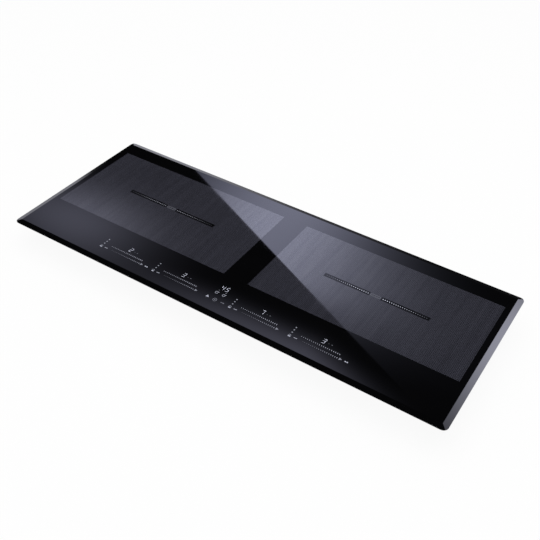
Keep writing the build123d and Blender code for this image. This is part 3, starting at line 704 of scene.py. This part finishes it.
def makeLitzCopper():
    # thin varnished wires run along the twisted strands: stripes across the map's first direction, with
    # painted shade darkening the copper in the grooves between the wires
    look = windingLook
    material, tree, shader, place = newFinish("litzCopper")
    wrap = addNode(tree, "ShaderNodeTexCoord", out="UV")
    around = splitAxes(tree, wrap)[0]
    wave = doMath(tree, "SINE", doMath(tree, "MULTIPLY", around, 2 * math.pi * look["fineWires"]))
    wires = mapRange(tree, wave, -1.0, 1.0, 0.0, 1.0)
    stain = addCloud(tree, place, look["stains"], detail=4.0)
    # the dark copper is both the stains and a painted shade in the grooves between the wires
    tone = mixShares(tree, wires, stain, look["wireShare"])
    colour = mixColour(tree, tone, look["copperStainAndGrooveShade"], look["copper"])
    rough = mapRange(tree, stain, *cloudSpan, *look["polish"])
    tree.links.new(colour, shader.inputs["Base Color"])
    tree.links.new(rough, shader.inputs["Roughness"])
    shader.inputs["Metallic"].default_value = 1.0
    strength, depth = look["wireBump"]
    addBump(tree, shader, wires, strength, depth * mm)
    return material


def spiralPath():
    # half turns about two centres half a pitch apart; each half turn is half a pitch wider than the
    # last, and a straight end as long as the wire is thick stands at the start and at the finish
    look = windingLook
    inner, pitch = look["innerRadius"], look["pitch"]
    halves = 2 * look["turns"]
    length = math.pi * halves * (inner + (halves - 1) * pitch / 4)
    turn = np.linspace(0, math.pi * halves, int(length / look["step"]))
    half = np.minimum(np.floor(turn / math.pi), halves - 1)
    radius = inner + half * pitch / 2
    spiral = np.stack([half % 2 * pitch / 2 + radius * np.cos(turn), radius * np.sin(turn)], axis=1)
    start = [(inner, -look["wire"])]
    finish = [(inner + look["turns"] * pitch, look["wire"])]
    return np.concatenate([start, spiral, finish])


def makeWinding(number, finish):
    # a round section with a groove between every two strands is carried along the spiral, and turns as
    # it goes: a point is path + r(column) * (cos(a + t) * across + sin(a + t) * up), where t grows with
    # the length; each strand has three columns, one in its groove and two on its back
    look = windingLook
    low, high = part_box(f"coil_former_{number}")
    wireLow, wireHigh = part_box(f"coil_winding_{number}")
    centre = (np.array(low) + np.array(high)) / 2
    path = spiralPath()
    ahead = np.gradient(path, axis=0)
    ahead /= np.linalg.norm(ahead, axis=1, keepdims=True)
    across = np.stack([ahead[:, 1], -ahead[:, 0]], axis=1)
    gone = np.concatenate([[0], np.cumsum(np.linalg.norm(np.diff(path, axis=0), axis=1))])
    columns = 3 * look["strands"]
    angle = np.arange(columns) * 2 * np.pi / columns
    reach = np.tile([look["groove"], 1.0, 1.0], look["strands"]) * look["wire"] / 2
    phase = angle[None] + gone[:, None] * 2 * np.pi / look["twist"]
    flat = path[:, None] + across[:, None] * (reach * np.cos(phase))[..., None]
    tall = reach * np.sin(phase)
    points = np.concatenate([flat, tall[..., None]], axis=2) * mm
    points += (centre[0], centre[1], (wireLow.z + wireHigh.z) / 2)
    index = np.arange(len(path) * columns).reshape(len(path), columns)
    beside = np.roll(index, -1, axis=1)
    walls = np.stack([index[:-1], index[1:], beside[1:], beside[:-1]], axis=-1).reshape(-1, 4)
    shell = (points.reshape(-1, 3), (walls, index[:1], index[-1:, ::-1]))
    cable = makePiece(f"coil_cable_{number}", [shell], finish, "hob")
    corners = np.arange(columns)[None, :, None] + (0, 0, 1, 1)  # columns of a face's four corners
    column = np.broadcast_to(corners, (len(path) - 1, columns, 4))
    row = np.broadcast_to(gone[:-1, None, None], column.shape) / look["twist"]
    wrap = np.stack([column / columns, row], axis=-1).reshape(-1, 2)
    wrap = np.concatenate([wrap, np.zeros((2 * columns, 2))]).astype(np.float32)
    cable.data.uv_layers.new(name="wire").data.foreach_set("uv", wrap.ravel())
    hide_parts(f"coil_winding_{number}")


litzCopper = makeLitzCopper()
for number in range(1, windingLook["count"] + 1):
    makeWinding(number, litzCopper)
print("windings twisted")


# Finishes of the casing and of everything inside it

partLooks = {
    # pattern, its size, dark and light colour, two roughnesses, metal, bump depth
    # the dark colours of foam_seal, grey_cable and zinc_post lie in pores, cable grooves and thread roots
    # as painted shade
    "foam_seal": ("cells", 0.7, (0.012, 0.012, 0.012), (0.035, 0.035, 0.035), (0.9, 1.0), 0.0, 0.15),
    "silicone": ("cloud", 6.0, (0.035, 0.035, 0.037), (0.06, 0.06, 0.062), (0.35, 0.5), 0.0, 0.05),
    "galvanised_sheet": ("spangle", 9.0, (0.34, 0.35, 0.365), (0.50, 0.51, 0.525), (0.30, 0.46), 1.0, 0.01),
    "zinc_screw": ("cloud", 1.2, (0.42, 0.43, 0.45), (0.58, 0.58, 0.59), (0.22, 0.4), 1.0, 0.01),
    "zinc_post": ("rings", 0.5, (0.56, 0.57, 0.58), (0.74, 0.74, 0.74), (0.25, 0.4), 1.0, 0.01),
    "white_plastic": ("grain", 0.5, (0.74, 0.74, 0.72), (0.84, 0.84, 0.82), (0.45, 0.6), 0.0, 0.02),
    "circuit_board": ("traces", 1.8, (0.012, 0.10, 0.045), (0.05, 0.25, 0.12), (0.25, 0.4), 0.0, 0.03),
    "display_plastic": ("grain", 0.8, (0.03, 0.03, 0.032), (0.07, 0.07, 0.072), (0.15, 0.3), 0.0, 0.01),
    "clear_plastic": ("cloud", 2.0, (0.80, 0.82, 0.83), (0.90, 0.91, 0.91), (0.12, 0.3), 0.0, 0.02),
    "grey_cable": ("stripes", 1.27, (0.36, 0.36, 0.38), (0.56, 0.56, 0.58), (0.4, 0.55), 0.0, 0.2),
    "black_plastic": ("grain", 0.6, (0.022, 0.022, 0.023), (0.045, 0.045, 0.047), (0.4, 0.58), 0.0, 0.03),
    "terminal_plastic": ("grain", 0.6, (0.68, 0.66, 0.60), (0.80, 0.78, 0.73), (0.4, 0.55), 0.0, 0.02),
    "black_rubber": ("cloud", 1.5, (0.014, 0.014, 0.014), (0.032, 0.032, 0.032), (0.6, 0.8), 0.0, 0.03),
    "lead_sheath": ("grain", 1.0, (0.38, 0.38, 0.40), (0.50, 0.50, 0.52), (0.4, 0.55), 0.0, 0.03),
    "tray_aluminium": ("streaks", 2.0, (0.68, 0.69, 0.70), (0.82, 0.83, 0.84), (0.28, 0.45), 1.0, 0.01),
    "sink_aluminium": ("streaks", 1.0, (0.60, 0.61, 0.62), (0.76, 0.77, 0.78), (0.3, 0.5), 1.0, 0.02),
    "former_plastic": ("grain", 0.7, (0.07, 0.07, 0.07), (0.13, 0.13, 0.13), (0.5, 0.65), 0.0, 0.03),
    "ferrite": ("speckle", 0.9, (0.045, 0.045, 0.05), (0.11, 0.11, 0.115), (0.55, 0.75), 0.0, 0.04),
    "mica": ("flakes", 5.0, (0.60, 0.55, 0.44), (0.80, 0.77, 0.68), (0.25, 0.5), 0.0, 0.02),
    "sensor_pad": ("grain", 0.8, (0.66, 0.66, 0.63), (0.80, 0.80, 0.77), (0.6, 0.75), 0.0, 0.03),
    "capacitor_plastic": ("cloud", 4.0, (0.42, 0.06, 0.035), (0.60, 0.13, 0.08), (0.2, 0.35), 0.0, 0.01),
    "clamp_steel": ("streaks", 1.5, (0.17, 0.18, 0.195), (0.29, 0.30, 0.32), (0.26, 0.42), 1.0, 0.02),
}
patternLook = {
    "stretched": {"streaks": (0.06, 1.0, 1.0), "stripes": (1.0, 0.0, 0.0)},
    "cellEdge": (0.1, 0.7),  # from the middle of a cell to its edge, in cells
    "flakeGrains": 6,  # fine grains along one flake
    "flakeShare": 0.5,  # of the flake's own tone, the rest is grain
    "patchLines": 8,  # lines in one patch of traces
    "lineEdge": (0.12, 0.2),  # a line fades out between these distances from its middle, in pitches
    "turnedFrom": 0.6,  # patches with a higher draw are turned
    "bareUnder": 0.3,  # patches with a lower draw are bare
    "waveFactor": 20,  # the wave texture's own factor on its scale
}
wearLook = {
    "clouds": 14.0,  # in a metre
    "share": 0.25,  # of wear in the tone, the rest is the pattern, which is darker where the bump is low
    "bump": 0.5,
    "clearness": 0.8,  # share of light that goes through clear plastic
}


def traceLines(tree, axis, pitch):
    # 1 on a line and 0 between two lines
    away = doMath(tree, "PINGPONG", axis, pitch / 2)
    inner, outer = patternLook["lineEdge"]
    return mapRange(tree, away, inner * pitch, outer * pitch, 1.0, 0.0)


def patternShare(tree, pattern, size, place):
    # a pattern of that size in millimetres, from 0 to 1 over the surface
    look = patternLook
    size = size * mm
    perMetre = 1 / size
    if pattern in look["stretched"]:
        place = addNode(tree, "ShaderNodeMapping", {0: place, "Scale": look["stretched"][pattern]})
    if pattern in ("cells", "speckle"):
        dots = addNode(tree, "ShaderNodeTexVoronoi", {0: place, "Scale": perMetre}, feature="F1")
        return mapRange(tree, dots, *look["cellEdge"], 0.0, 1.0)
    if pattern in ("spangle", "flakes"):
        inputs = {0: place, "Scale": perMetre}
        cells = addNode(tree, "ShaderNodeTexVoronoi", inputs, out="Color", feature="F1")
        fine = addCloud(tree, place, perMetre * look["flakeGrains"], detail=3.0)
        return mixShares(tree, splitAxes(tree, cells)[0], fine, look["flakeShare"])
    if pattern == "traces":
        # square patches of parallel lines, some along X and some along Y, and some patches bare
        patch = doVector(tree, "SNAP", place, (look["patchLines"] * size,) * 3)
        chance = addNode(tree, "ShaderNodeTexWhiteNoise", {0: patch})
        turned, plain = (traceLines(tree, axis, size) for axis in splitAxes(tree, place)[:2])
        isTurned = doMath(tree, "GREATER_THAN", chance, look["turnedFrom"])
        lines = doMath(tree, "MULTIPLY_ADD", isTurned, doMath(tree, "SUBTRACT", turned, plain), plain)
        return doMath(tree, "MULTIPLY", lines, doMath(tree, "GREATER_THAN", chance, look["bareUnder"]))
    if pattern in ("stripes", "rings"):
        scale = perMetre / look["waveFactor"] * 2 * math.pi
        way = "Z" if pattern == "rings" else "X"
        inputs = {0: place, "Scale": scale, "Distortion": 0.0}
        return addNode(tree, "ShaderNodeTexWave", inputs, out=1, bands_direction=way)
    return addCloud(tree, place, perMetre, detail=6.0 if pattern == "cloud" else 2.0)


def makePartFinish(slot):
    pattern, size, dark, light, rough, metal, depth = partLooks[slot]
    material, tree, shader, place = newFinish(slot)
    share = patternShare(tree, pattern, size, place)
    wear = addCloud(tree, place, wearLook["clouds"], detail=5.0)
    # the pattern is also the bump's height, so the tone is darker where the surface is low: for the foam's
    # cells, the cable's stripes and the posts' rings this is painted shade in pores, grooves and thread
    # roots; for the other patterns it is the material's own tone
    tone = mixShares(tree, wear, share, wearLook["share"])
    tree.links.new(mixColour(tree, tone, dark, light), shader.inputs["Base Color"])
    tree.links.new(mapRange(tree, wear, *cloudSpan, *rough), shader.inputs["Roughness"])
    shader.inputs["Metallic"].default_value = metal
    addBump(tree, shader, share, wearLook["bump"], depth * mm)
    if slot == "clear_plastic":
        shader.inputs["Transmission Weight"].default_value = wearLook["clearness"]
    return material


finishes = {slot: makePartFinish(slot) for slot in partLooks}
finishes["black_glass"] = blackGlass
finishes["copper_wire"] = litzCopper
for row in frame["record"]["subparts"]:
    mesh = frame["nodes"][row["node"]].data
    mesh.materials.clear()
    mesh.materials.append(finishes[row["material_slot"]])
for name, width, corners, slot in (
    ("worktop_seal", softLook["sealWidth"], softLook["sealCorners"], "foam_seal"),
    ("glass_adhesive", softLook["beadWidth"], softLook["beadCorners"], "silicone"),
):
    ring = makePiece(name + "_soft", [softRing(name, width, corners)], finishes[slot], "hob")
    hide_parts(name)
print("casing and inner pieces finished:", len(finishes), "finishes")


# Camera where the photographer stood

cameraLook = {
    "place": (0.6033, -0.9345, 0.9336),
    "aim": (0.0374, -0.0181, glassTop),
    "roll": 1.9726,  # degrees
    "lens": 52.255,  # millimetres
    "sensor": 36.0,  # width in millimetres
}


def makeCamera():
    camera = bpy.data.cameras.new("camera")
    camera.lens = cameraLook["lens"]
    camera.sensor_width = cameraLook["sensor"]
    view = bpy.data.objects.new("camera", camera)
    bpy.context.scene.collection.objects.link(view)
    place = Vector(cameraLook["place"])
    turn = (Vector(cameraLook["aim"]) - place).to_track_quat("-Z", "Y").to_matrix().to_4x4()
    lean = Matrix.Rotation(math.radians(cameraLook["roll"]), 4, "Z")
    view.matrix_world = Matrix.Translation(place) @ turn @ lean
    bpy.context.scene.camera = view


makeCamera()


# Studio: a pale floor, one soft lamp, and a panel that only mirrors show

studioLook = {
    "floorSize": 40.0,
    "floorDrop": 0.0003,  # small gap under the casing
    "floorColour": (0.93, 0.93, 0.93),
    "floorWhite": 0.92,  # share of plain white that the eye sees in the floor
    "skyLevel": 0.55,  # plain light from all round
    "lampSize": 3.0,
    "lampHeight": 2.2,
    "lampWatts": 36.0,
}


def makePlane(name, middle, size):
    half = np.array([[-1, -1, 0], [1, -1, 0], [1, 1, 0], [-1, 1, 0]]) * size / 2
    mesh = bpy.data.meshes.new(name)
    mesh.from_pydata((half + np.array(middle)).tolist(), [], [(0, 1, 2, 3)])
    plane = bpy.data.objects.new(name, mesh)
    bpy.context.scene.collection.objects.link(plane)
    return plane


def makeFloor():
    # diffuse floor that keeps the shadow, lifted towards white for the eye and for mirrors
    low = cadBox[0].z - studioLook["floorDrop"]
    floor = makePlane("floor", (0, 0, low), studioLook["floorSize"])
    material, tree, shader, _ = newFinish("floorPaint")
    shader.inputs["Base Color"].default_value = (*studioLook["floorColour"], 1.0)
    shader.inputs["Roughness"].default_value = 1.0
    shader.inputs["Specular IOR Level"].default_value = 0.0
    path = tree.nodes.new("ShaderNodeLightPath").outputs
    seen = doMath(tree, "MAXIMUM", path["Is Camera Ray"], path["Is Glossy Ray"])
    seen = doMath(tree, "MAXIMUM", seen, path["Is Transmission Ray"])
    white = addNode(tree, "ShaderNodeEmission", {"Color": (1, 1, 1, 1), "Strength": 1.0})
    share = doMath(tree, "MULTIPLY", seen, studioLook["floorWhite"])
    both = addNode(tree, "ShaderNodeMixShader", {0: share, 1: shader.outputs[0], 2: white})
    tree.links.new(both, tree.nodes["Material Output"].inputs["Surface"])
    floor.data.materials.append(material)


horizonLook = {
    "from": 0.30,  # sine of the elevation where the white horizon has faded out
    "full": 0.17,  # and where it is still whole
    "dark": 0.003,  # level of the dark room over it
    "blue": 1.12,  # the horizon is a little blue
    "turns": (  # degrees from +X towards +Y, and how white the horizon is there
        (-180.0, 0.30),
        (-150.0, 0.40),
        (-110.0, 1.0),
        (70.0, 1.0),
        (88.0, 0.02),
        (104.0, 0.02),
        (113.0, 0.26),
        (122.0, 1.25),
        (131.0, 1.45),
        (136.0, 0.0),
        (144.75, 0.0),
        (146.2, 1.1),
        (154.0, 1.12),
        (162.0, 0.35),
        (180.0, 0.30),
    ),
}


def makeWorld():
    # white for the eye, a plain level for the light, and for mirrors a dark room with a pale horizon
    world = bpy.data.worlds.new("studio")
    world.use_nodes = True
    tree = world.node_tree
    bpy.context.scene.world = world
    way = addNode(tree, "ShaderNodeTexCoord", out="Generated")
    axes = splitAxes(tree, way)
    angle = doMath(tree, "ARCTAN2", axes[1], axes[0])
    ramp = tree.nodes.new("ShaderNodeValToRGB")
    tree.links.new(mapRange(tree, angle, -math.pi, math.pi, 0.0, 1.0), ramp.inputs[0])
    stops = ramp.color_ramp.elements
    while len(stops) < len(horizonLook["turns"]):
        stops.new(0.5)
    for stop, (degrees, level) in zip(stops, horizonLook["turns"]):
        stop.position = (degrees + 180) / 360
        stop.color = (level, level, level * horizonLook["blue"], 1.0)
    low = mapRange(tree, axes[2], horizonLook["full"], horizonLook["from"], 1.0, 0.0, smooth=True)
    horizon = doVector(tree, "SCALE", ramp.outputs[0])
    tree.links.new(low, horizon.node.inputs["Scale"])
    room = doVector(tree, "ADD", horizon, (horizonLook["dark"],) * 3)
    path = tree.nodes.new("ShaderNodeLightPath").outputs
    colour = mixColour(tree, path["Is Glossy Ray"], (studioLook["skyLevel"],) * 3, room)
    clear = doMath(tree, "MAXIMUM", path["Is Camera Ray"], path["Is Transmission Ray"])
    colour = mixColour(tree, clear, colour, (1.0, 1.0, 1.0))
    tree.links.new(colour, tree.nodes["Background"].inputs["Color"])


panelLook = {
    "size": 7.0,
    "edgeFrom": (-0.2655, 0.1616),  # the panel's straight edge as it mirrors in the glass
    "edgeTo": (0.3937, -0.1556),
    "edgeSoft": 0.001,
    "seam": 0.0005,  # half the width over which one spread turns into the other
    "band": {
        "middle": -0.0230,
        "left": 0.152,  # spread to the left
        "right": (0.1454, 0.1246),  # spread to the right at two depths, in front and at the back
        "rightAt": (0.06, 0.16),
        "fade": (-0.160, -0.009),  # depths between which the band fades out in front
        "colour": (2.28, 2.356, 3.18),
    },
    "glows": (  # soft lights as they mirror in the glass; a spread goes left, right, front and back
        {
            "middle": (-0.3476, -0.1085),
            "spread": (0.13, 0.10, 0.067, 0.063),
            "slant": 0.0,  # rise of the middle line to the right of the middle
            "colour": (0.855, 0.865, 1.147),
        },
        {
            "middle": (0.1926, -0.1668),
            "spread": (0.186, 0.097, 0.05, 0.024),
            "slant": -0.238,
            "colour": (0.975, 0.975, 1.30),
        },
        {
            "middle": (0.7152, 0.0746),
            "spread": (0.075, 0.10, 0.132, 0.160),
            "slant": 0.0,
            "colour": (4.9, 4.95, 5.95),
        },
    ),
}


def softBell(tree, place, middle, low, high):
    # exp(-d * d / 2), where d is the distance from the middle in spreads of that side
    away = doMath(tree, "SUBTRACT", place, middle)
    spread = mapRange(tree, away, -panelLook["seam"], panelLook["seam"], low, high)
    share = doMath(tree, "DIVIDE", away, spread)
    square = doMath(tree, "MULTIPLY", share, share)
    return doMath(tree, "EXPONENT", doMath(tree, "MULTIPLY", square, -0.5))


def makePanel():
    # the panel hangs as high as the camera, so a point of it mirrors in the glass halfway between them
    eye = Vector(cameraLook["place"])
    panel = makePlane("mirror_panel", (0, 0, eye.z), panelLook["size"])
    panel.visible_camera = False
    panel.visible_diffuse = False
    panel.visible_shadow = False
    panel.visible_transmission = False
    material, tree, shader, place = newFinish("mirrorPanel")
    tree.nodes.remove(shader)
    spot = doVector(tree, "MULTIPLY_ADD", place, (0.5, 0.5, 0.0), (eye.x / 2, eye.y / 2, 0.0))
    across, deep, _ = splitAxes(tree, spot)
    start = np.array(panelLook["edgeFrom"])
    along = np.array(panelLook["edgeTo"]) - start
    normal = np.array([-along[1], along[0]]) / np.linalg.norm(along)
    beyond = doVector(tree, "DOT_PRODUCT", spot, (*normal, 0.0))
    beyond = doMath(tree, "SUBTRACT", beyond, float(normal @ start))
    inside = mapRange(tree, beyond, 0.0, panelLook["edgeSoft"], 0.0, 1.0, smooth=True)
    band = panelLook["band"]
    right = mapRange(tree, deep, *band["rightAt"], *band["right"])
    shape = softBell(tree, across, band["middle"], band["left"], right)
    shape = doMath(tree, "MULTIPLY", shape, inside)
    shape = doMath(tree, "MULTIPLY", shape, mapRange(tree, deep, *band["fade"], 0.0, 1.0))
    total = doVector(tree, "MULTIPLY", band["colour"], shape)
    for glow in panelLook["glows"]:
        left, right, front, back = glow["spread"]
        shape = softBell(tree, across, glow["middle"][0], left, right)
        beside = doMath(tree, "MAXIMUM", doMath(tree, "SUBTRACT", across, glow["middle"][0]), 0.0)
        level = doMath(tree, "MULTIPLY_ADD", beside, -glow["slant"], deep)
        shape = doMath(tree, "MULTIPLY", shape, softBell(tree, level, glow["middle"][1], front, back))
        total = doVector(tree, "MULTIPLY_ADD", glow["colour"], shape, total)
    total = doVector(tree, "ADD", total, (horizonLook["dark"],) * 3)
    light = addNode(tree, "ShaderNodeEmission", {"Color": total, "Strength": 1.0})
    tree.links.new(light, tree.nodes["Material Output"].inputs["Surface"])
    panel.data.materials.append(material)


def makeLamp():
    lamp = bpy.data.lights.new("overhead", "AREA")
    lamp.size = studioLook["lampSize"]
    lamp.energy = studioLook["lampWatts"]
    holder = bpy.data.objects.new("overhead", lamp)
    bpy.context.scene.collection.objects.link(holder)
    holder.location = (0, 0, studioLook["lampHeight"])
    holder.visible_glossy = False
    holder.visible_camera = False


makeFloor()
makeWorld()
makePanel()
makeLamp()
bpy.context.scene.view_settings.view_transform = "Standard"
print("studio set")
